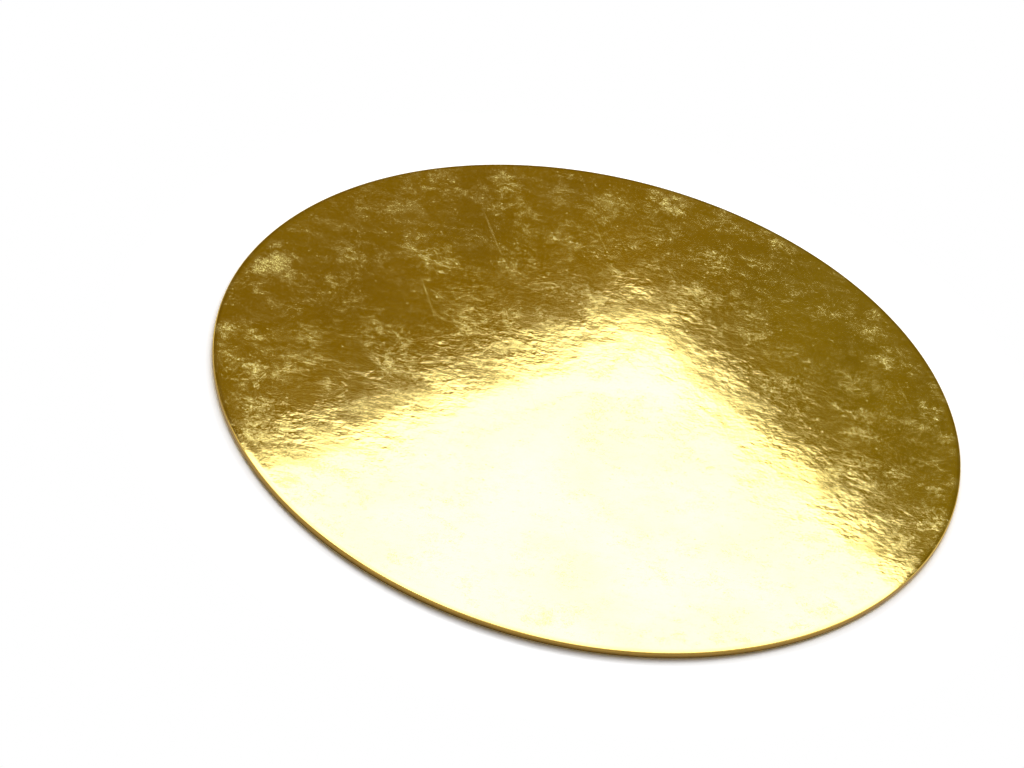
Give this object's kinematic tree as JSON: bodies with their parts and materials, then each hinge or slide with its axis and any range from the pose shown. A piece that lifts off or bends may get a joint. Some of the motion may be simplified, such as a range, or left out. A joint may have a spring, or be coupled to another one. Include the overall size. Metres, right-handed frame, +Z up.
{
  "type": "cake board",
  "caption": "Flat round cake board of thick card, faced with mirror-bright gold foil paper that is turned over the rim and tucked under.",
  "frame": {"origin": "centre of the underside, on the surface that the board lies on", "axes": "+Z up, out of the foil face; the board is round about Z, so X and Y are free"},
  "size_m": [0.305, 0.305, 0.003],
  "materials": {
    "gold_foil": "polished",
    "backing_paper": "matte"
  },
  "bodies": {
    "root": {"cake_board": "gold_foil"}
  },
  "joints": []
}
